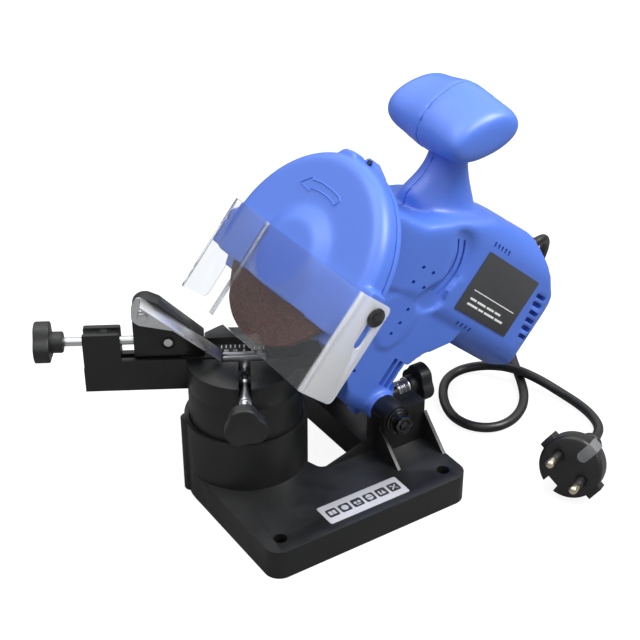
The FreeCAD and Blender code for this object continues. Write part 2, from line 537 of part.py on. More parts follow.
def housing_shape():
    """Motor body, gear case, hinge arm, stem and grip in the head frame, before it is split."""
    bottom, top, rear = dim("case_bottom"), dim("case_top"), dim("case_rear")
    front = dim("case_front")
    wide, case = dim("housing_half"), dim("case_half")
    motor_side = extruded(polygon([
        (front + 2, bottom), (rear - 12, bottom, 8), (rear, bottom + 12, 10), (rear, 88, 14), (78, 105, 14),
        (61, 120, 14), (42, top, 12), (4, 127, 16), (-26, 113.5, 14), (-46, 102, 14), (front + 2, 98.5),
    ]), "y", -wide, wide)
    motor_end = extruded(rectangle(-wide, wide, bottom - 1, top + 1, 20), "x", front, rear + 10)
    case_side = extruded(polygon([
        (front, 20.5, 3), (-45, 21, 5), (-34, 5, 8), (-21, -9.3, 8), (9.3, -8, 7), (7, 6, 4),
        (-1, 22, 6), (8, 37, 6), (24, bottom + 2, 8), (26, 70, 8), (4, 120, 10), (-26, 112, 14),
        (-46, 102, 14), (front, 98, 6),
    ]), "y", -case, case)
    case_end = extruded(rectangle(-case, case, -12, 130, 12), "x", front - 2, 60)
    barrel = Part.makeCylinder(dim("barrel_radius"), 2 * dim("barrel_half"),
                               Vector(0, -dim("barrel_half"), 0), Y_AXIS)
    stem_levels = [(98, -12, 34, 22), (110, -15, 30, 20.5), (121, -18, 25, 18), (129, -22, 20, 15.5),
                   (135, -26.5, 16.5, 13.3), (141, -31.5, 13.8, 12.4), (147, -38, 13, 13), (153, -44, 13, 14)]
    stem = Part.makeLoft([section(Vector(m, 0, n), X_AXIS, Y_AXIS, half_m, half_y)
                          for n, m, half_m, half_y in stem_levels], True, False)
    # Grip sections from the near end to the far one: offset, centre, lean, half depth, half height.
    grip_levels = [(-34.5, -46.8, 158.9, 41, 9.2, 21.4), (-33.4, -46.8, 158.9, 41, 10.6, 22.8),
                   (-18, -48.6, 159.4, 31, 14.2, 23.8), (0, -49.6, 160, 23, 15.8, 23.8),
                   (18, -49.2, 160, 30, 14.2, 22.4), (33.4, -48.5, 160.8, 41, 11.2, 20.4),
                   (34.5, -48.5, 160.8, 41, 10, 19)]
    sections = []
    for y, m, n, lean, half_depth, half_height in grip_levels:
        cosine, sine = math.cos(math.radians(lean)), math.sin(math.radians(lean))
        sections.append(section(Vector(m, y, n), Vector(cosine, 0, -sine), Vector(sine, 0, cosine),
                                half_depth, half_height, dim("grip_squareness")))
    grip = Part.makeLoft(sections, True, False)
    motor_plan = polygon([(front, -29.2), (-30, -wide, 30), (rear, -wide, 15), (rear, wide, 15),
                          (-30, wide, 30), (front, 29.2)])
    motor = motor_side.common(motor_end).common(extruded(motor_plan, "z", 40, 140))
    shape = motor.fuse([case_side.common(case_end), barrel, stem, grip])
    # Chambers for the motor and the gears, seats for the bearings, and the hinge bore.
    motor_n, spindle_n = dim("motor_n"), dim("spindle_n")
    chambers = [
        Part.makeCylinder(dim("motor_radius"), 80, Vector(-14, 0, motor_n), X_AXIS),
        Part.makeBox(rear - 33, 40, 24, Vector(2, -20, motor_n + 14)),
        Part.makeBox(28, 54, 73.2, Vector(-70, -27, 23.4)),
        Part.makeBox(16, 52, 48, Vector(-24, -26, 12)),
        Part.makeCylinder(12.05, 9, Vector(-77, 0, spindle_n), X_AXIS),
        Part.makeCylinder(6.2, 6, Vector(front - 1, 0, spindle_n), X_AXIS),
        Part.makeCylinder(12.05, 9, Vector(-37, 0, spindle_n), X_AXIS),
        Part.makeCylinder(6.2, 8, Vector(-43, 0, spindle_n), X_AXIS),
        Part.makeCylinder(11.05, 14.5, Vector(-28, 0, motor_n), X_AXIS),
        Part.makeCylinder(5.2, 20, Vector(-43, 0, motor_n), X_AXIS),
        Part.makeCylinder(5.2, 10, Vector(64, 0, motor_n), X_AXIS),
        Part.makeCylinder(11.05, 11, Vector(72, 0, motor_n), X_AXIS),
        Part.makeCylinder(5.2, 80, Vector(0, -40, 0), Y_AXIS),
    ]
    return shape.cut(chambers)


# Points of the cord's centre line, from the gland on the motor to the plug's sleeve. The gland
# points straight away from the hinge, so the head swings it across the end of the cord.
CORD_ROUTE = [
    (177.8, 80.7, 87.6), (187.29, 80.7, 90.76), (197, 84, 88.5), (202, 90, 75), (201.5, 97, 57),
    (198, 103, 38), (193, 104.5, 20), (187, 99, 7.5), (180, 88, 3), (172, 73, 3),
    (164.5, 59, 3), (156, 46.5, 3), (145.5, 37, 3), (132.5, 31, 3), (119, 31, 3),
    (108.5, 39, 3), (104.5, 52, 3), (108, 66, 3), (115.5, 79, 3), (126, 89.5, 3),
    (139.5, 94, 3), (152, 89.5, 4.6), (160.5, 78, 8), (166, 65, 9.8), (172.5, 51.5, 7.4),
    (177.5, 37, 4), (179.5, 22, 3), (178, 8, 3), (172.5, -4.5, 3.6), (163.29, -11.31, 4.24),
    (153.38, -17.19, 7.58),
]


def gland_axis():
    first = CORD_ROUTE[0]
    return Vector(first[0] - dim("hinge_x"), 0, first[2] - dim("hinge_z")).normalize()


def gland_foot():
    return Vector(*CORD_ROUTE[0]) - gland_axis() * 16


SCREW_PLACES = [(-64, 32, 30), (-66, 92, 30), (-6, 40, 30), (64, 62, 32), (36, 106, 32)]


def make_housing():
    shape = housing_shape()
    wide = 60
    near = shape.common(Part.makeBox(240, wide, 240, Vector(-120, -wide, -30)))
    far = shape.common(Part.makeBox(240, wide, 240, Vector(-120, 0, -30)))
    # Cooling slots in the near side behind the label, and the switch opening in the far side.
    slots = [Part.makeBox(9, 8, 2.6, Vector(63 + 1.2 * step, -36, 101 - 5.2 * step)) for step in range(6)]
    tab = Part.makeBox(5, 8, 9, Vector(3.2, -13.7, -14.6))
    near = near.cut(slots).fuse(tab).cut(Part.makeCylinder(5.2, 80, Vector(0, -40, 0), Y_AXIS))
    for m, n, seat in SCREW_PLACES:
        far = far.cut(Part.makeCylinder(3.2, 3.2, Vector(m, seat - 3, n), Y_AXIS))
    far = far.cut(Part.makeBox(20.2, 20, 12.2, Vector(48.9, 20, 96.9)))
    gland_hole = Part.makeCylinder(5.65, 22, gland_foot(), gland_axis())
    gland_hole.Placement = HEAD.inverse().multiply(gland_hole.Placement)
    far = far.cut(gland_hole)
    feature("housing_near", near.removeSplitter(), HEAD)
    feature("housing_far", far.removeSplitter(), HEAD)

    label = Piece("label_plate", HEAD)
    half = dim("housing_half")
    label.add("y", rectangle(6, 58, 70.5, 109, 1), str(-half - 0.5), str(-half))
    screws = [cylinder(f"housing_screw_{index}", "2.6", "2.8", along(HEAD, (m, seat - 3, n), (0, 1, 0)))
              for index, (m, n, seat) in enumerate(SCREW_PLACES)]
    union("housing_screws", screws)
    bushes = []
    for name, low in (("near", -dim("barrel_half")), ("far", dim("barrel_half") - 16)):
        bush = Piece(f"hinge_bush_{name}", HEAD)
        ring = circle(0, 0, 5.2) + circle(0, 0, dim("hinge_pin_radius") + 0.06)
        bush.add("y", ring, str(low), str(low + 16))
        bushes.append(NODES.pop(f"hinge_bush_{name}"))
    union("hinge_bushes", bushes)


def make_switch():
    body = Piece("switch_body", HEAD)
    body.add("y", rectangle(49, 69, 97, 109), "21", "dims.housing_half - 0.5")
    body.cut("y", rectangle(51, 67, 98.5, 107.5), "25", "dims.housing_half")
    rocker = Piece("switch_rocker", HEAD)
    outline = polygon([(51.6, 27), (66.4, 27), (66.4, 34, 1), (59, 32.4, 12), (51.6, 32.4, 1)])
    rocker.add("z", outline, "98.9", "107.1")


def make_guard():
    spindle_n = dim("spindle_n")
    radius, wall = dim("guard_radius"), dim("guard_wall")
    front, back = dim("guard_front"), dim("guard_back")
    cover = Part.makeCylinder(radius, back - 3 - front, Vector(front, 0, spindle_n), X_AXIS)
    rim = [edge for edge in cover.Edges if abs(edge.BoundBox.XMin - front) < 0.01 and edge.Length > 300]
    cover = cover.makeFillet(8, rim)
    boss_outline = [(-2.5, 98), (18.5, 98), (17.4, 107, 4), (13.5, 113.6, 5), (3.2, 114.8, 5), (-1.2, 107, 4)]
    boss = extruded(polygon(boss_outline), "x", front + 3, back - 3)
    right_ear = Part.makeBox(11, 10, 22, Vector(front + 2, -68, 37))
    left_ear = Part.makeBox(11, 9, 14, Vector(front + 2, 57, 28)).fuse(
        Part.makeCylinder(5.5, 10, Vector(front + 7.5, 57, 46.5), Y_AXIS))
    dome = Part.makeCone(30, 20, 5, Vector(front, 0, spindle_n), Vector(-1, 0, 0))
    cover = cover.fuse([boss, dome, right_ear, left_ear])
    below = Part.makeBox(60, 160, 120, Vector(front - 20, -80, dim("guard_chord") - 120))
    screw_hole = Part.makeCylinder(2.4, 160, Vector(dim("visor_screw_m"), -80, dim("visor_screw_n")), Y_AXIS)
    cavity = Part.makeCylinder(radius - wall, 30, Vector(front + wall, 0, spindle_n), X_AXIS)
    inner = [edge for edge in cavity.Edges
             if abs(edge.BoundBox.XMax - front - wall) < 0.01 and edge.Length > 300]
    cavity = cavity.makeFillet(8 - wall, inner)
    dome_room = Part.makeCone(27.5, 17.5, 5, Vector(front + wall, 0, spindle_n), Vector(-1, 0, 0))
    cover = cover.cut([below, cavity, dome_room, screw_hole])
    feature("guard_cover", cover.removeSplitter(), HEAD)

    plate = Part.makeCylinder(radius, 3, Vector(back - 3, 0, spindle_n), X_AXIS)
    lug_outline = [(-20, 100), (8, 100), (6, 111, 2), (2.5, 116, 3), (-5, 115.5, 3), (-16, 110.5, 3)]
    lug_back = extruded(polygon(lug_outline), "x", back - 3, back)
    bore = Part.makeCylinder(12, 10, Vector(back - 5, 0, spindle_n), X_AXIS)
    low_cut = Part.makeBox(60, 160, 120, Vector(back - 20, -80, 20 - 120))
    feature("guard_back", plate.fuse(lug_back).cut([bore, low_cut, screw_hole]).removeSplitter(), HEAD)
    screw = Piece("guard_screw", along(HEAD, (back - 3, -1, 113.6), (-1, 0, 0)))
    screw.add("z", circle(0, 0, 1.5), "0", "1.6")


def make_visor():
    """Clear folded sheet round the front of the guard, slotted for height."""
    thick = dim("visor_thick")
    plane, right, left = dim("visor_front"), dim("visor_right"), dim("visor_left")
    fold = dim("visor_fold_m")
    inner = [(-76, right), (plane, right), (plane, 23), (fold, left), (-72, left)]
    outer = [(-72, left + thick), (fold - thick, left + thick), (plane - thick, 23),
             (plane - thick, right - thick), (-76, right - thick)]
    visor = Piece("visor", HEAD)
    visor.add("z", polygon(inner + outer), "dims.visor_low", "dims.visor_high")
    slot = rectangle(dim("visor_screw_m") - 2.6, dim("visor_screw_m") + 2.6, dim("visor_screw_n") - 19.4,
                     dim("visor_screw_n") + 2.6, 2.55)
    visor.cut("y", slot, str(right - 3), str(right + 3))
    visor.cut("y", slot, str(left - 3), str(left + 3))
    m, n = dim("visor_screw_m"), dim("visor_screw_n")
    parts = []
    for name, face, way in (("near", right - thick, 1), ("far", left + thick, -1)):
        shank = along(HEAD, (m, face, n), (0, way, 0))
        head = along(HEAD, (m, face - 2.5 * way, n), (0, way, 0))
        parts.append(cylinder(f"visor_screw_{name}_shank", "2.4", "10", shank))
        parts.append(cylinder(f"visor_screw_{name}_head", "4.2", "2.4", head))
    union("visor_screws", parts)


# ---- Mains cord and plug ----

PLUG_FACE = (112.9, -41.2, 21.2)
PLUG_AXIS = Vector(0.826, 0.49, -0.278)
PIN_LINE = Vector(0.27, -0.777, -0.568)


def make_cord():
    """Tube of straight runs and tangent arcs, each arc as large as its two runs allow."""
    points = [Vector(*point) for point in CORD_ROUTE]
    edges = []
    last = points[0]
    radii = []
    length = 0
    for before, here, after in zip(points, points[1:], points[2:]):
        back, ahead = before - here, after - here
        reach = 0.45 * min(back.Length, ahead.Length)
        back.normalize()
        ahead.normalize()
        half = back.getAngle(ahead) / 2
        radius = reach * math.tan(half)
        radii.append(round(radius, 1))
        start, end = here + back * reach, here + ahead * reach
        middle = here + (back + ahead).normalize() * (radius / math.sin(half) - radius)
        edges += [Part.LineSegment(last, start).toShape(), Part.Arc(start, middle, end).toShape()]
        length += (start - last).Length + radius * (math.pi - 2 * half)
        last = end
    edges.append(Part.LineSegment(last, points[-1]).toShape())
    length += (points[-1] - last).Length
    path = Part.Wire(edges)
    profile = Part.Wire(Part.makeCircle(dim("cord_radius"), points[0], points[1] - points[0]))
    tube = path.makePipeShell([profile], True, False)
    feature("cord", tube)
    expected = length * math.pi * dim("cord_radius") ** 2
    print(f"cord radii {radii}, length {length:.0f} mm, volume {tube.Volume:.0f} of {expected:.0f}")


def make_cord_ends():
    gland = Piece("cord_gland", along(WORLD, gland_foot(), gland_axis()))
    gland.turn([(0, 0), (5.6, 0), (5.6, 8), (4.6, 9), (4.2, 15.92), (0, 16)])

    across = PLUG_AXIS.cross(PIN_LINE)
    seat = Placement(Vector(*PLUG_FACE), Rotation(PIN_LINE, across, PLUG_AXIS, "ZXY"))
    body = Piece("plug_body", seat)
    body.turn([(0, 0), (17.4, 0), (18.4, 1.2), (18.4, 12), (17.4, 15), (9, 27), (7.6, 29), (7.4, 32),
               (5.2, 49), (0, 49)])
    for side in (-1, 1):
        ear = rectangle(16, 20.6, -4.5, 4.5, 1) if side > 0 else rectangle(-20.6, -16, -4.5, 4.5, 1)
        body.add("z", ear, "1", "11")
        notch = rectangle(-4, 4, 14.6, 20, 0.6) if side > 0 else rectangle(-4, 4, -20, -14.6, 0.6)
        body.cut("z", notch, "-1", "13")
    pins = []
    for index, offset in enumerate((-9.5, 9.5)):
        pins.append(cylinder(f"plug_pin_{index}", "2.4", "19", along(seat, (offset, 0, 0), (0, 0, -1))))
    union("plug_pins", pins)


make_base()
make_base_fittings()
make_depth_stop()
make_turret()
make_vise_fittings()
make_stop_carrier()
make_advance_screw()
make_wheel_set()
make_motor()
make_housing()
make_switch()
make_guard()
make_visor()
make_cord()
make_cord_ends()

doc.recompute()
problems = [f"{obj.Name}: {obj.State}" for obj in doc.Objects if {"Invalid", "Error"} & set(obj.State)]
for label, node in NODES.items():
    if node.Shape.isNull() or not node.Shape.isValid():
        problems.append(f"{label}: shape")
if problems:
    raise RuntimeError("; ".join(problems))
os.makedirs("parts", exist_ok=True)
for label, node in sorted(NODES.items()):
    node.Shape.exportStep(f"parts/{label}.step")
    print(f"{label}: {len(node.Shape.Solids)} solids, {node.Shape.Volume / 1000:.1f} cm3")
print(f"{len(NODES)} nodes")
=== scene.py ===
import json
import math

import bmesh
import bpy
from mathutils import Matrix, Vector


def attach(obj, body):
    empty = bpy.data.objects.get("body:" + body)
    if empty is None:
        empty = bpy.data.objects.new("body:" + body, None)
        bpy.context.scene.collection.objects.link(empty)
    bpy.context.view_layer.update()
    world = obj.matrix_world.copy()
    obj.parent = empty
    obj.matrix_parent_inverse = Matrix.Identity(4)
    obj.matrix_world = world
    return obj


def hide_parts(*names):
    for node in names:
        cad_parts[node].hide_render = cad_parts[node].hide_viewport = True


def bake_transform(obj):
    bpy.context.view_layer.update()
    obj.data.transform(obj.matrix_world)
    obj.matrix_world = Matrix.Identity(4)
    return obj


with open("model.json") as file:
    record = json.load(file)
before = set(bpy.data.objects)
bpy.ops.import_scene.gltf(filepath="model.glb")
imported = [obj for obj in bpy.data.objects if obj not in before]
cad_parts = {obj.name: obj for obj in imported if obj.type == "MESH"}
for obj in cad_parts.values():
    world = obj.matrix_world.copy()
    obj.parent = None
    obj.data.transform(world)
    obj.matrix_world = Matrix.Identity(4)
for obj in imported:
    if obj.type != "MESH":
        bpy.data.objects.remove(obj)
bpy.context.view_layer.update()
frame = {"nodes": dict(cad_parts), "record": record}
scene = bpy.context.scene
mm = 0.001

# Head frame: x along the motor, y to the back, z away from the hinge. Vise frame: x along the rails.
headFrame = Matrix.Translation((0.041, 0.0747, 0.042)) @ Matrix.Rotation(math.radians(40), 4, "Y")
viseFrame = Matrix.Translation((-0.0305, 0.0747, 0)) @ Matrix.Rotation(math.radians(-30), 4, "Z")
worldFrame = Matrix.Identity(4)


# ---- camera ----

cameraSetup = {"place": (-0.35192, -0.49217, 0.50494), "azimuth": -33.249, "elevation": 31.391, "lens": 78.57}


def makeCamera(setup):
    data = bpy.data.cameras.new("camera")
    data.lens = setup["lens"]
    data.sensor_width = 36
    data.clip_start = 0.01
    data.clip_end = 20
    camera = bpy.data.objects.new("camera", data)
    scene.collection.objects.link(camera)
    a = math.radians(setup["azimuth"])
    e = math.radians(setup["elevation"])
    back = Vector((math.sin(a) * math.cos(e), -math.cos(a) * math.cos(e), math.sin(e)))
    camera.location = setup["place"]
    camera.rotation_mode = "QUATERNION"
    camera.rotation_quaternion = (-back).to_track_quat("-Z", "Y")
    scene.camera = camera


makeCamera(cameraSetup)
print("camera set")


# ---- small tools ----

def clearSelection():
    if bpy.context.object and bpy.context.object.mode != "OBJECT":
        bpy.ops.object.mode_set(mode="OBJECT")
    bpy.ops.object.select_all(action="DESELECT")


def pick(piece):
    clearSelection()
    piece.select_set(True)
    bpy.context.view_layer.objects.active = piece


def settle(piece, place=worldFrame):
    # puts the piece's place into its mesh, so its object sits at the origin
    pick(piece)
    bpy.context.view_layer.update()
    piece.matrix_world = place @ piece.matrix_world
    bpy.ops.object.transform_apply(location=True, rotation=True, scale=True)
    return piece


def named(name):
    piece = bpy.context.object
    piece.name = name
    piece.data.name = name
    return piece


def applyAll(piece):
    pick(piece)
    for modifier in list(piece.modifiers):
        bpy.ops.object.modifier_apply(modifier=modifier.name)
    return piece


def bevelEdges(piece, width, segments=2, angle=35):
    modifier = piece.modifiers.new("edges", "BEVEL")
    modifier.width = width * mm
    modifier.segments = segments
    modifier.limit_method = "ANGLE"
    modifier.angle_limit = math.radians(angle)
    modifier.harden_normals = False
    return applyAll(piece)


def smooth(piece, angle=40):
    pick(piece)
    bpy.ops.object.shade_smooth_by_angle(angle=math.radians(angle))
    return piece


def joined(pieces, name):
    clearSelection()
    for piece in pieces:
        piece.select_set(True)
    bpy.context.view_layer.objects.active = pieces[0]
    if len(pieces) > 1:
        bpy.ops.object.join()
    return named(name)


def carve(piece, cutters, operation="DIFFERENCE", solver="EXACT"):
    tool = joined(cutters, "cutter")
    modifier = piece.modifiers.new("carve", "BOOLEAN")
    modifier.operation = operation
    modifier.solver = solver
    modifier.object = tool
    applyAll(piece)
    bpy.data.objects.remove(tool)
    return piece


def box(low, high, name="block"):
    bpy.ops.mesh.primitive_cube_add(size=1)
    piece = named(name)
    piece.location = [(a + b) / 2 * mm for a, b in zip(low, high)]
    piece.scale = [(b - a) * mm for a, b in zip(low, high)]
    return settle(piece)


def rod(start, end, radius, sides=32, tip=None, name="rod"):
    start, end = Vector(start) * mm, Vector(end) * mm
    way = end - start
    bpy.ops.mesh.primitive_cone_add(vertices=sides, radius1=radius * mm, radius2=(tip or radius) * mm,
                                    depth=way.length)
    piece = named(name)
    piece.rotation_mode = "QUATERNION"
    piece.rotation_quaternion = way.to_track_quat("Z", "Y")
    piece.location = (start + end) / 2
    return settle(piece)


def outlinePlate(points, low, high, axis, name="plate"):
    # closed outline in one plane, extruded along the axis left over
    mesh = bpy.data.meshes.new(name)
    order = {"x": lambda a, b, c: (c, a, b), "y": lambda a, b, c: (a, c, b), "z": lambda a, b, c: (a, b, c)}[axis]
    corners = [Vector(order(a, b, low)) * mm for a, b in points]
    mesh.from_pydata(corners, [], [list(range(len(points)))])
    piece = bpy.data.objects.new(name, mesh)
    scene.collection.objects.link(piece)
    pick(piece)
    bpy.ops.object.mode_set(mode="EDIT")
    bpy.ops.mesh.select_all(action="SELECT")
    step = Vector(order(0, 0, high - low)) * mm
    bpy.ops.mesh.extrude_region_move(TRANSFORM_OT_translate={"value": step})
    bpy.ops.mesh.select_all(action="SELECT")
    bpy.ops.mesh.normals_make_consistent(inside=False)
    bpy.ops.object.mode_set(mode="OBJECT")
    return piece


def copyOf(node):
    # merged copy of a CAD solid, with its flat faces whole again
    source = frame["nodes"][node]
    piece = source.copy()
    piece.data = source.data.copy()
    for key in list(piece.keys()):
        del piece[key]
    scene.collection.objects.link(piece)
    piece.parent = None
    piece.matrix_world = Matrix.Identity(4)
    piece.data.materials.clear()
    pick(piece)
    bpy.ops.object.mode_set(mode="EDIT")
    bpy.ops.mesh.select_all(action="SELECT")
    bpy.ops.mesh.remove_doubles(threshold=0.000005)
    bpy.ops.mesh.customdata_custom_splitnormals_clear()
    bpy.ops.mesh.dissolve_limited(angle_limit=math.radians(0.4), delimit={"NORMAL"})
    bpy.ops.object.mode_set(mode="OBJECT")
    return piece


# ---- materials ----

def newMaterial(name, colour, rough, metal=0.0, **sockets):
    material = bpy.data.materials.new(name)
    material.use_nodes = True
    shader = material.node_tree.nodes["Principled BSDF"]
    shader.inputs["Base Color"].default_value = (*colour, 1)
    shader.inputs["Roughness"].default_value = rough
    shader.inputs["Metallic"].default_value = metal
    for socket, value in sockets.items():
        shader.inputs[socket.replace("_", " ")].default_value = value
    return material, shader


def node(material, kind, **values):
    made = material.node_tree.nodes.new(kind)
    for key, value in values.items():
        if key in made.inputs:
            made.inputs[key].default_value = value
        else:
            setattr(made, key, value)
    return made


def link(material, source, output, target, socket):
    material.node_tree.links.new(source.outputs[output], target.inputs[socket])


def noise(material, scale, detail=4.0, stretch=(1, 1, 1)):
    where = node(material, "ShaderNodeTexCoord")
    mapping = node(material, "ShaderNodeMapping", Scale=stretch)
    texture = node(material, "ShaderNodeTexNoise", Scale=scale, Detail=detail)
    link(material, where, "Object", mapping, "Vector")
    link(material, mapping, "Vector", texture, "Vector")
    return texture


def ramp(material, source, low, high, start, end, output="Fac"):
    made = node(material, "ShaderNodeValToRGB")
    made.color_ramp.elements[0].position = start
    made.color_ramp.elements[1].position = end
    made.color_ramp.elements[0].color = (*low, 1)
    made.color_ramp.elements[1].color = (*high, 1)
    link(material, source, output, made, "Fac")
    return made


def grain(material, shader, scale, strength, distance, stretch=(1, 1, 1), detail=3.0):
    texture = noise(material, scale, detail, stretch)
    bump = node(material, "ShaderNodeBump", Strength=strength, Distance=distance)
    link(material, texture, "Fac", bump, "Height")
    link(material, bump, "Normal", shader, "Normal")
    return bump


def varyRough(material, shader, scale, low, high):
    texture = noise(material, scale, 5.0)
    span = node(material, "ShaderNodeMapRange")
    span.inputs["From Min"].default_value = 0.3
    span.inputs["From Max"].default_value = 0.7
    span.inputs["To Min"].default_value = low
    span.inputs["To Max"].default_value = high
    link(material, texture, "Fac", span, "Value")
    link(material, span, "Result", shader, "Roughness")


plasticLook = {"blue": (0.086, 0.19, 0.69), "blueShade": (0.078, 0.174, 0.64), "grainScale": 2600,
               "rough": (0.3, 0.42)}


def bluePlastic(look):
    material, shader = newMaterial("blueMouldedPlastic", look["blue"], 0.36, Specular_IOR_Level=0.55)
    patches = ramp(material, noise(material, 9, 3.0), look["blueShade"], look["blue"], 0.35, 0.65)
    link(material, patches, "Color", shader, "Base Color")
    varyRough(material, shader, 60, *look["rough"])
    grain(material, shader, look["grainScale"], 0.12, 0.0002)
    return material


blackLook = {
    "cast": {"low": (0.0045, 0.0048, 0.005), "high": (0.009, 0.0093, 0.01), "rough": (0.33, 0.46),
             "scale": 1700, "bump": 0.05},
    "knob": {"low": (0.009, 0.0095, 0.01), "high": (0.016, 0.0165, 0.018), "rough": (0.4, 0.52), "scale": 2600,
             "bump": 0.16},
    "rubber": {"low": (0.008, 0.008, 0.0085), "high": (0.013, 0.013, 0.0135), "rough": (0.3, 0.42),
               "scale": 1200, "bump": 0.08},
}


def blackPlastic(name, look):
    material, shader = newMaterial(name, look["high"], 0.45, Specular_IOR_Level=0.5)
    patches = ramp(material, noise(material, 24, 5.0), look["low"], look["high"], 0.35, 0.65)
    link(material, patches, "Color", shader, "Base Color")
    varyRough(material, shader, 90, *look["rough"])
    grain(material, shader, look["scale"], look["bump"], 0.0002)
    return material


metalLook = {
    "zinc": {"low": (0.7, 0.71, 0.73), "high": (0.82, 0.83, 0.85), "rough": (0.26, 0.34), "stretch": (1, 1, 1),
             "scale": 40},
    "steel": {"low": (0.5, 0.51, 0.53), "high": (0.68, 0.68, 0.7), "rough": (0.16, 0.3), "stretch": (1, 1, 6),
              "scale": 220},
    "darkSteel": {"low": (0.06, 0.061, 0.064), "high": (0.12, 0.121, 0.125), "rough": (0.14, 0.24),
                  "stretch": (1, 1, 1), "scale": 200},
    "copper": {"low": (0.6, 0.27, 0.14), "high": (0.78, 0.38, 0.2), "rough": (0.25, 0.4), "stretch": (1, 1, 1),
               "scale": 200},
    "brass": {"low": (0.7, 0.62, 0.45), "high": (0.82, 0.76, 0.62), "rough": (0.14, 0.25), "stretch": (1, 1, 1),
              "scale": 200},
}


def metal(name, look):
    material, shader = newMaterial(name, look["high"], 0.3, 1.0)
    patches = ramp(material, noise(material, look["scale"], 4.0, look["stretch"]), look["low"], look["high"],
                   0.35, 0.65)
    link(material, patches, "Color", shader, "Base Color")
    varyRough(material, shader, look["scale"] * 2, *look["rough"])
    grain(material, shader, look["scale"] * 5, 0.02, 0.0001, look["stretch"])
    return material


wheelLook = {"bond": (0.05, 0.016, 0.013), "grit": (0.15, 0.06, 0.048)}


def abrasive(look):
    material, shader = newMaterial("bondedGrit", look["bond"], 0.85, Specular_IOR_Level=0.15)
    where = node(material, "ShaderNodeTexCoord")
    cells = node(material, "ShaderNodeTexVoronoi", Scale=1500)
    link(material, where, "Object", cells, "Vector")
    grit = ramp(material, cells, look["bond"], look["grit"], 0.25, 0.95, "Color")
    link(material, grit, "Color", shader, "Base Color")
    bump = node(material, "ShaderNodeBump", Strength=0.12, Distance=0.0004)
    link(material, cells, "Distance", bump, "Height")
    link(material, bump, "Normal", shader, "Normal")
    return material


# the last two values set the painted reflection on the short flap: where it starts and how much light still passes
clearLook = {"tint": (0.905, 0.92, 0.94), "ior": 1.38, "scuffs": (0.0, 0.035), "flapReflectionEdge": (0.0062, 0.0085),
             "flapReflectionTransmission": 0.5}


def clearSheet(look):
    material, shader = newMaterial("clearSheet", look["tint"], 0.03, IOR=look["ior"], Transmission_Weight=1.0)
    varyRough(material, shader, 45, *look["scuffs"])
    # painted reflection: the short flap on the wheel's side transmits only half, so its pale tint shows as the white
    # reflection on that flap
    where = node(material, "ShaderNodeTexCoord")
    split = node(material, "ShaderNodeSeparateXYZ")
    clear = node(material, "ShaderNodeMapRange")
    clear.inputs["From Min"].default_value, clear.inputs["From Max"].default_value = look["flapReflectionEdge"]
    clear.inputs["To Min"].default_value = look["flapReflectionTransmission"]
    link(material, where, "Object", split, "Vector")
    link(material, split, "Y", clear, "Value")
    link(material, clear, "Result", shader, "Transmission Weight")
    return material


stickerLook = {"silver": (0.5, 0.5, 0.53), "print": (0.018, 0.018, 0.02), "label": (0.05, 0.051, 0.055),
               "white": (0.8, 0.8, 0.8),
               "strap": (0.16, 0.165, 0.17)}


def satinFoil(name, colour, rough, metalness):
    material, shader = newMaterial(name, colour, rough, metalness)
    varyRough(material, shader, 300, rough * 0.85, rough * 1.15)
    grain(material, shader, 3000, 0.05, 0.0001)
    return material


finishes = {
    "black_cast": blackPlastic("blackSatinCast", blackLook["cast"]),
    "black_plastic": blackPlastic("blackKnobPlastic", blackLook["knob"]),
    "rubber": blackPlastic("cordRubber", blackLook["rubber"]),
    "blue_plastic": bluePlastic(plasticLook),
    "zinc": metal("zincPlate", metalLook["zinc"]),
    "steel": metal("turnedSteel", metalLook["steel"]),
    "dark_steel": metal("blackenedSteel", metalLook["darkSteel"]),
    "copper": metal("copperWinding", metalLook["copper"]),
    "brass": metal("nickelBrass", metalLook["brass"]),
    "abrasive": abrasive(wheelLook),
    "clear": clearSheet(clearLook),
    "sticker": satinFoil("silverFoil", stickerLook["silver"], 0.38, 0.35),
    "label": satinFoil("darkFoil", stickerLook["label"], 0.36, 0.0),
    "strap": satinFoil("greyStrap", stickerLook["strap"], 0.5, 0.0),
    "print": satinFoil("blackPrint", stickerLook["print"], 0.45, 0.0),
    "white": satinFoil("whitePrint", stickerLook["white"], 0.5, 0.0),
}
slotOfNode = {entry["node"]: entry["material_slot"] for entry in frame["record"]["subparts"]}
bodyOfNode = {name: body for body, names in frame["record"]["behaviour"]["bodies"].items() for name in names}
finishOfNode = {**slotOfNode, "angle_scale": "print"}
print("materials made")


def dress(piece, finish, body):
    piece.data.materials.clear()
    piece.data.materials.append(finishes[finish])
    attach(piece, body)
    return piece


def standIn(piece, name, *nodes):
    # the piece takes the place of these solids, in their finish and on their body
    piece.name = name
    piece.data.name = name
    dress(piece, slotOfNode[nodes[0]], bodyOfNode[nodes[0]])
    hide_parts(*nodes)
    return piece


def turned(profile, steps=64, name="turned"):
    # closed outline of radius and height, spun about z
    mesh = bpy.data.meshes.new(name)
    points = [Vector((r * mm, 0, z * mm)) for r, z in profile]
    closed = profile[0][0] > 0 or profile[-1][0] > 0
    edges = [(i, i + 1) for i in range(len(points) - 1)] + ([(len(points) - 1, 0)] if closed else [])
    mesh.from_pydata(points, edges, [])
    piece = bpy.data.objects.new(name, mesh)
    scene.collection.objects.link(piece)
    pick(piece)
    bpy.ops.object.mode_set(mode="EDIT")
    bpy.ops.mesh.select_all(action="SELECT")
    bpy.ops.mesh.spin(steps=steps, angle=2 * math.pi, center=(0, 0, 0), axis=(0, 0, 1))
    bpy.ops.mesh.select_all(action="SELECT")
    bpy.ops.mesh.remove_doubles(threshold=0.000002)
    bpy.ops.mesh.normals_make_consistent(inside=False)
    bpy.ops.object.mode_set(mode="OBJECT")
    return piece


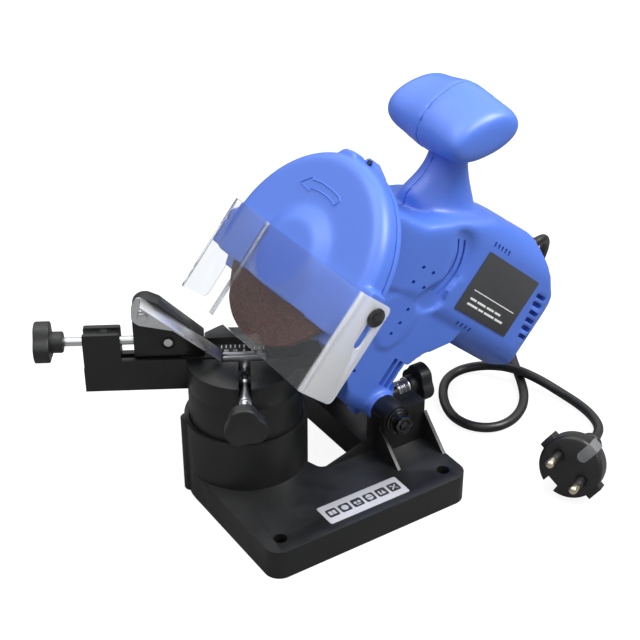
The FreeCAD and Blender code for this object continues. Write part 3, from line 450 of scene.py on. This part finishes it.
def alongAxis(origin, way, across=None):
    # frame with its z along the way, at a point in millimetres
    z = Vector(way).normalized()
    x = Vector(across) if across else (Vector((0, 0, 1)) if abs(z.z) < 0.9 else Vector((1, 0, 0)))
    x = (x - z * x.dot(z)).normalized()
    turn = Matrix((x, z.cross(x), z)).transposed().to_4x4()
    return Matrix.Translation(Vector(origin) * mm) @ turn


# ---- mains cord ----

cordParts = {
    "route": [
        (177.8, 80.7, 87.6), (187.29, 80.7, 90.76), (197, 84, 88.5), (202, 90, 75), (201.5, 97, 57), (198, 103, 38),
        (193, 104.5, 20), (187, 99, 7.5), (180, 88, 3), (172, 73, 3), (164.5, 59, 3), (156, 46.5, 3), (145.5, 37, 3),
        (132.5, 31, 3), (119, 31, 3), (108.5, 39, 3), (104.5, 52, 3), (108, 66, 3), (115.5, 79, 3), (126, 89.5, 3),
        (139.5, 94, 3), (152, 89.5, 4.6), (160.5, 78, 8), (166, 65, 9.8), (172.5, 51.5, 7.4), (177.5, 37, 4),
        (179.5, 22, 3), (178, 8, 3), (172.5, -4.5, 3.6), (163.29, -11.31, 4.24), (153.38, -17.19, 7.58),
    ],
    "radius": 3, "length": 0.432,
    "glandWay": (0.9487, 0, 0.3162),
    "sleeve": [(0, 0), (5.5, 0), (5.6, 0.6), (5.6, 6.6), (5.0, 7.4), (4.7, 8.6), (4.9, 9.2), (4.75, 11), (4.35, 11.6),
               (4.55, 12.2), (4.45, 14), (4.1, 14.6), (4.3, 15.2), (4.2, 17), (3.85, 17.6), (4.05, 18.2), (3.95, 20),
               (3.6, 20.6), (3.8, 21.2), (3.55, 24), (3.05, 24.6), (0, 24.6)],
}


def makeCord(parts):
    data = bpy.data.curves.new("mainsCord", "CURVE")
    data.dimensions = "3D"
    line = data.splines.new("NURBS")
    line.points.add(len(parts["route"]) - 1)
    for point, place in zip(line.points, parts["route"]):
        point.co = (*(Vector(place) * mm), 1)
    line.order_u = 3
    line.use_endpoint_u = True
    line.resolution_u = 8
    cord = bpy.data.objects.new("mainsCord", data)
    scene.collection.objects.link(cord)
    bpy.context.view_layer.update()
    bare = bpy.data.meshes.new_from_object(cord.evaluated_get(bpy.context.evaluated_depsgraph_get()))
    path = [tuple(v.co) for v in bare.vertices]
    bpy.data.meshes.remove(bare)
    data.bevel_depth = parts["radius"] * mm
    data.bevel_resolution = 6
    data.use_fill_caps = True
    pick(cord)
    bpy.ops.object.convert(target="MESH")
    cord = named("mainsCord")
    smooth(cord, 60)
    cord.data.materials.clear()
    cord.data.materials.append(finishes["rubber"])
    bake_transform(cord)
    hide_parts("cord")
    foot = Vector(parts["route"][0]) - Vector(parts["glandWay"]) * 16
    sleeve = smooth(settle(turned(parts["sleeve"]), alongAxis(foot, parts["glandWay"])), 50)
    standIn(sleeve, "cordSleeve", "cord_gland")
    return cord, path


mainsCord, cordPath = makeCord(cordParts)
print("cord laid")


# ---- mains plug ----

plugParts = {
    "face": (112.9, -41.2, 21.2), "axis": (0.826, 0.49, -0.278), "pinLine": (0.27, -0.777, -0.568),
    "body": [(0, 0), (16.6, 0), (17.6, 0.4), (18.3, 1.3), (18.4, 2), (18.4, 11.4), (18.0, 12.6), (16.8, 14.8),
             (9.4, 25.6), (8.2, 27.6), (0, 27.6)],
    "neck": [(0, 26), (7.4, 26), (7.4, 28.6), (6.2, 29), (6.2, 30), (7.2, 30.4), (7.2, 31.8), (5.9, 32.2),
             (5.9, 33.2), (6.9, 33.6), (6.9, 35), (5.6, 35.4), (5.6, 36.4), (6.6, 36.8), (6.6, 38.2), (5.3, 38.6),
             (5.3, 39.6), (6.2, 40), (6.2, 41.4), (5.0, 41.8), (5.0, 43.4), (6.6, 43.8), (7.0, 44.6), (7.0, 46.6),
             (6.4, 47.6), (4.6, 48.6), (0, 48.8)],
    "notchHalf": 4, "notchFloor": 13.2, "earRoot": 15, "earReach": 20.6, "earHalf": 4.5, "earLow": 1.4,
    "earHigh": 10.6, "pinPlace": 9.5, "seatRadius": 3.2, "strapHalf": 3.3, "strapOut": -18.9, "strapIn": -10.5,
    "pin": [(0, -19), (1.2, -19), (2.0, -18.5), (2.4, -17.6), (2.4, -9.4), (2.4, 2), (0, 2)],
    "pinShield": [(2.42, -9.6), (2.52, -9.5), (2.52, 1.5), (2.42, 1.5)],
}


def makePlug(parts):
    seat = alongAxis(parts["face"], parts["axis"], parts["pinLine"])
    body = turned(parts["body"], 72)
    half, floor = parts["notchHalf"], parts["notchFloor"]
    cutters = [box((-half, floor, -2), (half, 22, 13.2))]
    pinPlaces = (-parts["pinPlace"], parts["pinPlace"])
    cutters += [rod((x, 0, -1), (x, 0, 0.6), parts["seatRadius"]) for x in pinPlaces]
    carve(body, cutters)
    ears = []
    for side in (-1, 1):
        low, high = sorted((side * parts["earRoot"], side * parts["earReach"]))
        ears.append(box((low, -parts["earHalf"], parts["earLow"]), (high, parts["earHalf"], parts["earHigh"])))
    carve(body, ears, "UNION")
    bevelEdges(body, 0.5, 2, 40)
    smooth(settle(body, seat), 42)
    standIn(body, "plugBody", "plug_body")
    neck = dress(smooth(settle(turned(parts["neck"], 48), seat), 50), "rubber", bodyOfNode["plug_body"])
    neck.name = neck.data.name = "plugNeck"
    # flat grey earth strap, over the face and down the side
    wide, outer, inner = parts["strapHalf"], parts["strapOut"], parts["strapIn"]
    strap = box((-wide, outer, -0.35), (wide, inner, 1.0))
    side = box((-wide, outer, -0.35), (wide, outer + 1, 12.2))
    carve(strap, [side], "UNION")
    end = rod((0, inner, -0.35), (0, inner, 1.0), wide, 32)
    carve(strap, [end], "UNION")
    bevelEdges(strap, 0.25, 2, 40)
    dress(smooth(settle(strap, seat), 40), "strap", bodyOfNode["plug_body"])
    strap.name = strap.data.name = "plugStrap"
    pins = []
    for x in pinPlaces:
        pin = turned(parts["pin"], 32)
        pin.location = (x * mm, 0, 0)
        pins.append(settle(pin))
    pins = smooth(settle(joined(pins, "plugPins"), seat), 45)
    standIn(pins, "plugPins", "plug_pins")
    pins.data.materials[0] = finishes["brass"]
    shields = []
    for x in pinPlaces:
        shield = turned(parts["pinShield"], 32)
        shield.location = (x * mm, 0, 0)
        shields.append(settle(shield))
    shields = smooth(settle(joined(shields, "pinShields"), seat), 45)
    dress(shields, "rubber", bodyOfNode["plug_body"])
    return body, neck, strap, pins, shields


plugPieces = makePlug(plugParts)
print("plug made")


# ---- soft edges on the rigid parts ----

softEdges = {
    "base_casting": ("baseCasting", 0.7, 3), "vise_body": ("viseBody", 0.5, 2),
    "turret_barrel": ("turretBarrel", 0.5, 2), "stop_carrier": ("stopCarrier", 0.5, 2),
    "stop_pawl": ("stopPawl", 0.15, 2), "hinge_bolt": ("hingeBolt", 0.3, 2), "hinge_nut": ("hingeNut", 0.35, 2),
    "hinge_washers": ("hingeWashers", 0.2, 2), "hinge_collar": ("hingeCollar", 0.2, 2),
    "clamp_screw": ("clampStud", 0.2, 2), "advance_screw": ("advanceScrew", 0.3, 2),
    "pawl_pivot": ("pawlPivot", 0.25, 2), "carrier_screw": ("carrierScrew", 0.2, 2),
    "fixed_rail": ("fixedRail", 0.15, 2), "moving_rail": ("movingRail", 0.15, 2),
    "depth_screw": ("depthScrew", 0.3, 2), "depth_washer": ("depthWasher", 0.15, 2),
    "icon_plate": ("iconPlate", 0.12, 2), "label_plate": ("labelPlate", 0.12, 2),
    "guard_back": ("guardBack", 0.4, 2), "grinding_wheel": ("grindingWheel", 0.3, 2),
    "switch_body": ("switchBody", 0.4, 2), "switch_rocker": ("switchRocker", 0.4, 2),
    "outer_flange": ("outerFlange", 0.2, 2), "wheel_nut": ("wheelNut", 0.3, 2),
}


def softenEdges(table):
    for name, (label, width, segments) in table.items():
        piece = copyOf(name)
        bevelEdges(piece, width, segments, 32)
        smooth(piece, 38)
        standIn(piece, label, name)


softenEdges(softEdges)
print("edges softened")


# ---- knobs ----

knobShape = {"radius": 11.9, "lobes": 3, "scoop": 2.2, "sharp": 2.4, "turn": 70, "dish": 0.5}
knobSeats = {
    "clamp_knob": ("clampKnob", viseFrame @ alongAxis((0, 0, 77.5), (0, -1, 0)), 46.5, 52.6, 60),
    "advance_knob": ("advanceKnob", viseFrame @ alongAxis((0, 7.4, 92.8), (-1, 0, 0)), 99.5, 106.3, 115),
    "depth_knob": ("depthKnob", alongAxis((0, 65, 31), (1, 0, 0)), 75.6, 81, 89),
}


def makeKnob(shape, hubLow, low, high):
    bpy.ops.mesh.primitive_cylinder_add(vertices=96, radius=shape["radius"] * mm, depth=(high - low) * mm)
    knob = named("knob")
    knob.location = (0, 0, (low + high) / 2 * mm)
    settle(knob)
    for vertex in knob.data.vertices:
        turn = math.atan2(vertex.co.y, vertex.co.x) - math.radians(shape["turn"])
        hollow = (0.5 + 0.5 * math.cos(shape["lobes"] * turn)) ** shape["sharp"]
        reach = 1 - shape["scoop"] / shape["radius"] * hollow
        vertex.co.x *= reach
        vertex.co.y *= reach
    pick(knob)
    bpy.ops.object.mode_set(mode="EDIT")
    mesh = bmesh.from_edit_mesh(knob.data)
    for face in mesh.faces:
        face.select = face.normal.z > 0.9
    bmesh.update_edit_mesh(knob.data)
    bpy.ops.mesh.inset(thickness=1.6 * mm, depth=0)
    bpy.ops.mesh.inset(thickness=1.4 * mm, depth=-shape["dish"] * mm)
    bpy.ops.object.mode_set(mode="OBJECT")
    bevelEdges(knob, 0.9, 4, 40)
    hub = turned([(0, hubLow), (5.4, hubLow), (6, hubLow + 0.6), (6, low + 1.5), (0, low + 1.5)], 48)
    return smooth(joined([knob, hub], "knob"), 38)


def makeKnobs():
    for name, (label, seat, hubLow, low, high) in knobSeats.items():
        knob = settle(makeKnob(knobShape, hubLow, low, high), seat)
        standIn(knob, label, name)


makeKnobs()
print("knobs made")


# ---- clear shield ----

shieldShape = {
    "front": -100, "fold": -93.5, "right": -69.7, "left": 67.5, "middle": 23, "low": -4, "high": 56, "thick": 1.5,
    "nearEnd": -76, "farEnd": -72, "slot": (-83, 28.6, 50.6, 2.6), "foldRound": 2.2, "corner": 3.5,
}


def makeShield(s):
    # sheet along its fold line, in the head frame, then up to its full height
    line = [(s["nearEnd"], s["right"]), (s["front"], s["right"]), (s["front"], s["middle"]), (s["fold"], s["left"]),
            (s["farEnd"], s["left"])]
    mesh = bpy.data.meshes.new("shield")
    mesh.from_pydata([Vector((m, y, s["low"])) * mm for m, y in line], [(i, i + 1) for i in range(4)], [])
    shield = bpy.data.objects.new("shield", mesh)
    scene.collection.objects.link(shield)
    pick(shield)
    bpy.ops.object.mode_set(mode="EDIT")
    bpy.ops.mesh.select_all(action="SELECT")
    bpy.ops.mesh.extrude_region_move(TRANSFORM_OT_translate={"value": (0, 0, (s["high"] - s["low"]) * mm)})
    # folds are rounded, and the free corners of the two flaps are cut round
    mesh = bmesh.from_edit_mesh(shield.data)
    for edge in mesh.edges:
        upright = abs(edge.verts[0].co.z - edge.verts[1].co.z) > 0.01
        edge.select = upright and len(edge.link_faces) == 2
    bmesh.update_edit_mesh(shield.data)
    bpy.ops.mesh.bevel(offset=s["foldRound"] * mm, segments=5, affect="EDGES")
    mesh = bmesh.from_edit_mesh(shield.data)
    ends = (s["nearEnd"] * mm, s["farEnd"] * mm)
    for vertex in mesh.verts:
        vertex.select = any(abs(vertex.co.x - end) < 1e-6 for end in ends)
    bmesh.update_edit_mesh(shield.data)
    bpy.ops.mesh.bevel(offset=s["corner"] * mm, segments=5, affect="VERTICES")
    bpy.ops.mesh.select_all(action="SELECT")
    bpy.ops.mesh.normals_make_consistent(inside=False)
    bpy.ops.object.mode_set(mode="OBJECT")
    wall = shield.modifiers.new("wall", "SOLIDIFY")
    wall.thickness = s["thick"] * mm
    wall.offset = -1 if shield.data.polygons[0].normal.y * s["right"] > 0 else 1
    applyAll(shield)
    m, low, high, half = s["slot"]
    cutters = []
    for y in (s["right"], s["left"]):
        cutter = box((m - half, y - 3, low + half), (m + half, y + 3, high - half))
        for n in (low + half, high - half):
            carve(cutter, [rod((m, y - 3, n), (m, y + 3, n), half, 32)], "UNION")
        cutters.append(cutter)
    carve(shield, cutters)
    bevelEdges(shield, 0.18, 2, 40)
    return shield


def makeShieldScrews(s):
    # dark pan heads with a cross recess, each on its washer
    heads = []
    for y, way in ((s["right"], -1), (s["left"], 1)):
        place = alongAxis((s["slot"][0], y, 48), (0, way, 0))
        head = turned([(0, 0.8), (3.9, 0.8), (4.0, 1.3), (3.5, 2.2), (2.4, 2.7), (0, 2.9)], 40)
        recess = [box((-2, -0.42, 1.5), (2, 0.42, 4)), box((-0.42, -2, 1.5), (0.42, 2, 4))]
        carve(head, recess)
        washer = turned([(2.45, 0.05), (5.4, 0.05), (5.5, 0.2), (5.5, 0.6), (5.4, 0.75), (2.45, 0.75)], 48)
        shank = turned([(0, -9), (2.1, -9), (2.35, -8.6), (2.35, 1), (0, 1)], 32)
        heads.append(settle(joined([head, washer, shank], "screw"), place))
    return smooth(settle(joined(heads, "screws"), headFrame), 40)


shieldPiece = smooth(settle(makeShield(shieldShape), headFrame), 30)
standIn(shieldPiece, "clearShield", "visor")
standIn(makeShieldScrews(shieldShape), "shieldScrews", "visor_screws")
print("shield made")


# ---- moulded covers ----

mouldShape = {
    "housing_near": ("housingNear", 1.2, 5), "housing_far": ("housingFar", 1.0, 7),
    "guard_cover": ("guardCover", 0.8, 12), "keepShare": 0.4,
}
sideVents = {"slots": [(63 + 1.2 * i, 101 - 5.2 * i) for i in range(6)], "size": (9, 2.6)}
smallHoles = {
    "round": [(-33.1, 81.3), (-24.3, 81.4), (-33.7, 71.4), (-24.3, 71.6), (-24.4, 56.4), (-23.9, 47.6), (-25.3, 39.9),
              (-33.1, 11.4)],
    "top": [(7 + 3.5 * i, 113.8) for i in range(5)], "bottom": [(16.8 + 4 * i, 63.8) for i in range(4)],
}
sideDish = {"outline": [(-25, 108), (-19.5, 112), (-11, 110.5), (-5.5, 104.5), (-3, 95), (-2.6, 86), (-5, 77), (-3, 70),
                        (-5.5, 63), (-12, 58.5), (-19, 60), (-23, 66), (-20, 73), (-14, 80), (-13, 88), (-15, 97),
                        (-20, 103)], "depth": 1.5, "backing": ((-25, -29.5, 56), (0, -26.6, 112)),
            "slots": [(-35.8, 85.5, 25.2, -31, 82), (-35.8, 85.5, 30, -28, 72)]}
sidePatch = {"outline": [(-45, 53), (-40, 60), (-30, 63), (-21, 62), (-15, 56), (-14, 47), (-16, 38), (-21, 31),
                         (-28, 30), (-35, 35), (-41, 44)], "rise": 1.0}
armPockets = {"wells": [(-10.3, -7.1), (-5.7, -2.5), (-0.9, 2.4)], "low": 10.4, "high": 28.5, "floor": -24,
              "backing": ((-13, -29.5, 8.5), (-6.9, -21, 31))}
softPlaces = {"roof": 80, "dome": 50}


def remeshed(piece, voxel, rounds):
    grid = piece.modifiers.new("grid", "REMESH")
    grid.mode = "VOXEL"
    grid.voxel_size = voxel * mm
    soft = piece.modifiers.new("soft", "SMOOTH")
    soft.factor = 0.5
    soft.iterations = rounds
    return applyAll(piece)


def thinned(piece):
    fewer = piece.modifiers.new("fewer", "DECIMATE")
    fewer.ratio = mouldShape["keepShare"]
    return applyAll(piece)


def relax(piece, rounds, chosen):
    # smooths only the chosen region
    group = piece.vertex_groups.new(name="region")
    group.add([v.index for v in piece.data.vertices if chosen(v.co / mm)], 1.0, "REPLACE")
    soft = piece.modifiers.new("soft", "SMOOTH")
    soft.factor = 0.5
    soft.iterations = rounds
    soft.vertex_group = "region"
    applyAll(piece)
    piece.vertex_groups.clear()
    return piece


def onRoof(place):
    return place.x < 30 and abs(place.y) > 14 and place.z > 86


def onDome(place):
    return place.x < -90.5 and math.hypot(place.y, place.z - 48.5) < 42


def inHead(piece):
    # brings a copy of a head solid into the head frame, to be shaped there
    piece.data.transform(headFrame.inverted())
    return piece


def arcSlot(centre, radius, width, start, sweep, low, high):
    # a small end face, spun about the slot's centre
    half = width / 2
    mesh = bpy.data.meshes.new("slot")
    corners = [(radius - half, low), (radius + half, low), (radius + half, high), (radius - half, high)]
    angle = math.radians(start)
    mesh.from_pydata([Vector((centre[0] + r * math.cos(angle), y, centre[1] + r * math.sin(angle))) * mm
                      for r, y in corners], [], [(0, 1, 2, 3)])
    slot = bpy.data.objects.new("slot", mesh)
    scene.collection.objects.link(slot)
    pick(slot)
    bpy.ops.object.mode_set(mode="EDIT")
    bpy.ops.mesh.select_all(action="SELECT")
    bpy.ops.mesh.spin(steps=14, angle=math.radians(sweep), center=(centre[0] * mm, 0, centre[1] * mm), axis=(0, 1, 0))
    bpy.ops.mesh.select_all(action="SELECT")
    bpy.ops.mesh.normals_make_consistent(inside=False)
    bpy.ops.object.mode_set(mode="OBJECT")
    return slot


def makeHousing():
    label, voxel, rounds = mouldShape["housing_near"]
    near = inHead(copyOf("housing_near"))
    carve(near, [outlinePlate(sidePatch["outline"], -30 - sidePatch["rise"], -29, "y")], "UNION")
    carve(near, [box(sideDish["backing"][0], sideDish["backing"][1])], "UNION")
    carve(near, [outlinePlate(sideDish["outline"], -33, -30 + sideDish["depth"], "y")])
    carve(near, [box(armPockets["backing"][0], armPockets["backing"][1])], "UNION")
    relax(remeshed(near, voxel, rounds), softPlaces["roof"], onRoof)
    cutters = [box((low, -34, armPockets["low"]), (high, armPockets["floor"], armPockets["high"]))
               for low, high in armPockets["wells"]]
    length, width = sideVents["size"]
    cutters += [box((m, -36, n), (m + length, -27, n + width)) for m, n in sideVents["slots"]]
    cutters += [rod((m, -36, n), (m, -25, n), 1.25, 20) for m, n in smallHoles["round"]]
    cutters += [box((m - 0.8, -36, n - 1.5), (m + 0.8, -26, n + 1.5)) for m, n in smallHoles["top"]]
    cutters += [box((m - 0.8, -36, n - 1.3), (m + 0.8, -26, n + 1.3)) for m, n in smallHoles["bottom"]]
    for m, n, radius, start, sweep in sideDish["slots"]:
        cutters.append(arcSlot((m, n), radius, 1.5, start, sweep, -34, -27.6))
    carve(near, cutters)
    smooth(settle(near, headFrame), 36)
    standIn(near, label, "housing_near")
    label, voxel, rounds = mouldShape["housing_far"]
    far = relax(remeshed(inHead(copyOf("housing_far")), voxel, rounds), softPlaces["roof"], onRoof)
    smooth(settle(thinned(far), headFrame), 36)
    standIn(far, label, "housing_far")


def makeGuard():
    label, voxel, rounds = mouldShape["guard_cover"]
    guard = relax(remeshed(inHead(copyOf("guard_cover")), voxel, rounds), softPlaces["dome"], onDome)
    smooth(settle(thinned(guard), headFrame), 50)
    standIn(guard, label, "guard_cover")


arrowRidge = {
    "outline": [(24.9, 84.3), (17.8, 90.9), (16.7, 89.4), (9.0, 90.7), (-0.7, 90.4), (-9.2, 89.3), (-10.9, 87.6),
                (-8.8, 84.0), (-6.5, 85.0), (-0.4, 86.0), (8.1, 85.9), (14.8, 84.9), (14.2, 83.0)],
    "face": -94.0, "radius": 0.5,
}


def makeArrow(parts):
    data = bpy.data.curves.new("guardArrow", "CURVE")
    data.dimensions = "3D"
    line = data.splines.new("POLY")
    line.points.add(len(parts["outline"]) - 1)
    for point, (y, n) in zip(line.points, parts["outline"]):
        point.co = (parts["face"] * mm, y * mm, n * mm, 1)
    line.use_cyclic_u = True
    data.bevel_depth = parts["radius"] * mm
    data.bevel_resolution = 2
    arrow = bpy.data.objects.new("guardArrow", data)
    scene.collection.objects.link(arrow)
    pick(arrow)
    bpy.ops.object.convert(target="MESH")
    arrow = smooth(settle(named("guardArrow"), headFrame), 50)
    dress(arrow, "blue_plastic", "head")


makeHousing()
makeGuard()
makeArrow(arrowRidge)
print("covers moulded")


# ---- printed marks ----

def disc(x, y, radius, sides=24, start=0, sweep=360):
    count = max(3, round(sides * sweep / 360))
    whole = sweep == 360
    angles = [math.radians(start + sweep * i / (count if whole else count - 1)) for i in range(count)]
    return [(x + radius * math.cos(a), y + radius * math.sin(a)) for a in angles]


def bar(x0, y0, x1, y1):
    return [(x0, y0), (x1, y0), (x1, y1), (x0, y1)]


angleMarks = {"ticks": [-12.5 + 2.5 * i for i in range(11)], "low": 9.4, "high": 12.4, "half": 0.28, "face": 84.4,
              "figures": [(-10, "30"), (-5, "15"), (0, "0"), (5, "15"), (10, "30")], "size": 2.7, "line": 5.7}
iconMarks = {
    "face": 18.5, "middle": 2.1, "first": -19.7, "step": 8.2, "half": 3.3,
    "shapes": [
        [bar(-2.1, -1.6, -0.2, 1.6), bar(0.2, -1.6, 2.1, 1.6)],
        [disc(0, 0, 2.1)],
        [disc(-1.2, 0.2, 1.0), disc(1.2, 0.2, 1.0), bar(-1.6, -2.0, 1.6, -1.4)],
        [disc(0, 0.25, 2.1, 24, 0, 180), disc(0, -0.25, 2.1, 24, 180, 180)],
        [bar(-1.9, -2, -0.9, 1.6), [(-0.5, -1.8), (2.1, -1.8), (0.8, 1.8)]],
        [[(-2.1, -1.5), (-1.5, -2.1), (2.1, 1.5), (1.5, 2.1)], [(-2.1, 1.5), (2.1, -2.1), (2.1, -1.5), (-1.5, 2.1)]],
    ],
}
labelMarks = {"face": -32.5, "rule": (12, 85.2, 53, 85.8),
              "rows": [(79.6, [(13, 19), (20.2, 28.5), (29.7, 37), (38.2, 44)]),
                       (76.2, [(13, 23), (24.2, 29), (30.2, 40), (41.2, 49)])], "rise": 1.3}


def makeMarks():
    m = angleMarks
    marks = [outlinePlate(bar(u - m["half"], m["low"], u + m["half"], m["high"]), m["face"] - 0.02,
                          m["face"] + 0.08, "z")
             for u in m["ticks"]]
    for u, figure in m["figures"]:
        bpy.ops.object.text_add()
        text = bpy.context.object
        text.data.body = figure
        text.data.size = m["size"] * mm
        text.data.align_x = "CENTER"
        text.data.extrude = 0.05 * mm
        text.location = (u * mm, m["line"] * mm, (m["face"] + 0.04) * mm)
        bpy.ops.object.convert(target="MESH")
        marks.append(settle(named("figure")))
    dress(settle(joined(marks, "angleMarks"), viseFrame), "white", "vise")

    m = iconMarks
    tiles, signs = [], []
    for index, shapes in enumerate(m["shapes"]):
        x = m["first"] + index * m["step"]
        h = m["half"]
        corners = [(h, h, 0), (-h, h, 90), (-h, -h, 180), (h, -h, 270)]
        outline = []
        for cx, cy, start in corners:
            cx, cy = x + cx - math.copysign(1, cx), m["middle"] + cy - math.copysign(1, cy)
            outline += disc(cx, cy, 1, 20, start, 90)
        tiles.append(outlinePlate(outline, m["face"] - 0.02, m["face"] + 0.06, "z"))
        for shape in shapes:
            placed = [(x + a, m["middle"] + b) for a, b in shape]
            signs.append(outlinePlate(placed, m["face"] + 0.05, m["face"] + 0.1, "z"))
    dress(joined(tiles, "iconTiles"), "print", "base")
    dress(joined(signs, "iconSigns"), "sticker", "base")

    m = labelMarks
    lines = [bar(*m["rule"])]
    for n, spans in m["rows"]:
        lines += [bar(low, n, high, n + m["rise"]) for low, high in spans]
    lines = [outlinePlate(line, m["face"] - 0.08, m["face"] + 0.02, "y") for line in lines]
    dress(settle(joined(lines, "labelMarks"), headFrame), "white", "head")


makeMarks()
print("marks printed")


# ---- floor, backdrop and light ----

stageSetup = {"floor": (0.2, 0.2, 0.2), "lift": 0.88, "skyLow": 0.05, "skyHigh": 1.15,
              "lamps": {"key": ((0.6, -0.45, 1.2), 0.6, 17.0), "top": ((-0.3, 0.3, 1.25), 0.8, 5.0)}}


def makeStage(s):
    bpy.ops.mesh.primitive_plane_add(size=6, location=(0, 0, -0.0004))
    floor = named("floor")
    material, shader = newMaterial("paleFloor", s["floor"], 0.85, Specular_IOR_Level=0.1)
    shader.inputs["Emission Color"].default_value = (1, 1, 1, 1)
    path = node(material, "ShaderNodeLightPath")
    seen = node(material, "ShaderNodeMath", operation="MAXIMUM")
    lift = node(material, "ShaderNodeMapRange")
    lift.inputs["To Max"].default_value = s["lift"]
    material.node_tree.links.new(path.outputs["Is Camera Ray"], seen.inputs[0])
    material.node_tree.links.new(path.outputs["Is Transmission Ray"], seen.inputs[1])
    link(material, seen, "Value", lift, "Value")
    link(material, lift, "Result", shader, "Emission Strength")
    floor.data.materials.append(material)
    world = scene.world or bpy.data.worlds.new("world")
    scene.world = world
    world.use_nodes = True
    tree = world.node_tree
    background = tree.nodes["Background"]
    background.inputs["Color"].default_value = (1, 1, 1, 1)
    # the camera and clear pieces see white; everything else sees a sky that is bright overhead and dark low down
    path = tree.nodes.new("ShaderNodeLightPath")
    seen = tree.nodes.new("ShaderNodeMath")
    seen.operation = "MAXIMUM"
    where = tree.nodes.new("ShaderNodeTexCoord")
    split = tree.nodes.new("ShaderNodeSeparateXYZ")
    height = tree.nodes.new("ShaderNodeMapRange")
    height.interpolation_type = "SMOOTHSTEP"
    for socket, value in (("From Min", 0.0), ("From Max", 0.6), ("To Min", s["skyLow"]), ("To Max", s["skyHigh"])):
        height.inputs[socket].default_value = value
    mix = tree.nodes.new("ShaderNodeMix")
    mix.inputs["B"].default_value = 1.0
    tree.links.new(where.outputs["Generated"], split.inputs["Vector"])
    tree.links.new(split.outputs["Z"], height.inputs["Value"])
    tree.links.new(path.outputs["Is Camera Ray"], seen.inputs[0])
    tree.links.new(path.outputs["Is Transmission Ray"], seen.inputs[1])
    tree.links.new(seen.outputs[0], mix.inputs["Factor"])
    tree.links.new(height.outputs["Result"], mix.inputs["A"])
    tree.links.new(mix.outputs["Result"], background.inputs["Strength"])
    for name, (place, size, power) in s["lamps"].items():
        data = bpy.data.lights.new(name, "AREA")
        data.size = size
        data.energy = power
        lamp = bpy.data.objects.new(name, data)
        lamp.location = place
        lamp.rotation_mode = "QUATERNION"
        lamp.rotation_quaternion = (Vector((0.03, 0.03, 0.08)) - Vector(place)).to_track_quat("-Z", "Y")
        scene.collection.objects.link(lamp)
    scene.view_settings.view_transform = "Standard"


makeStage(stageSetup)


# ---- the remaining solids ----

def dressSolids():
    for name, solid in frame["nodes"].items():
        if solid.hide_render:
            continue
        for index in range(len(solid.material_slots)):
            solid.material_slots[index].material = finishes[finishOfNode[name]]


dressSolids()
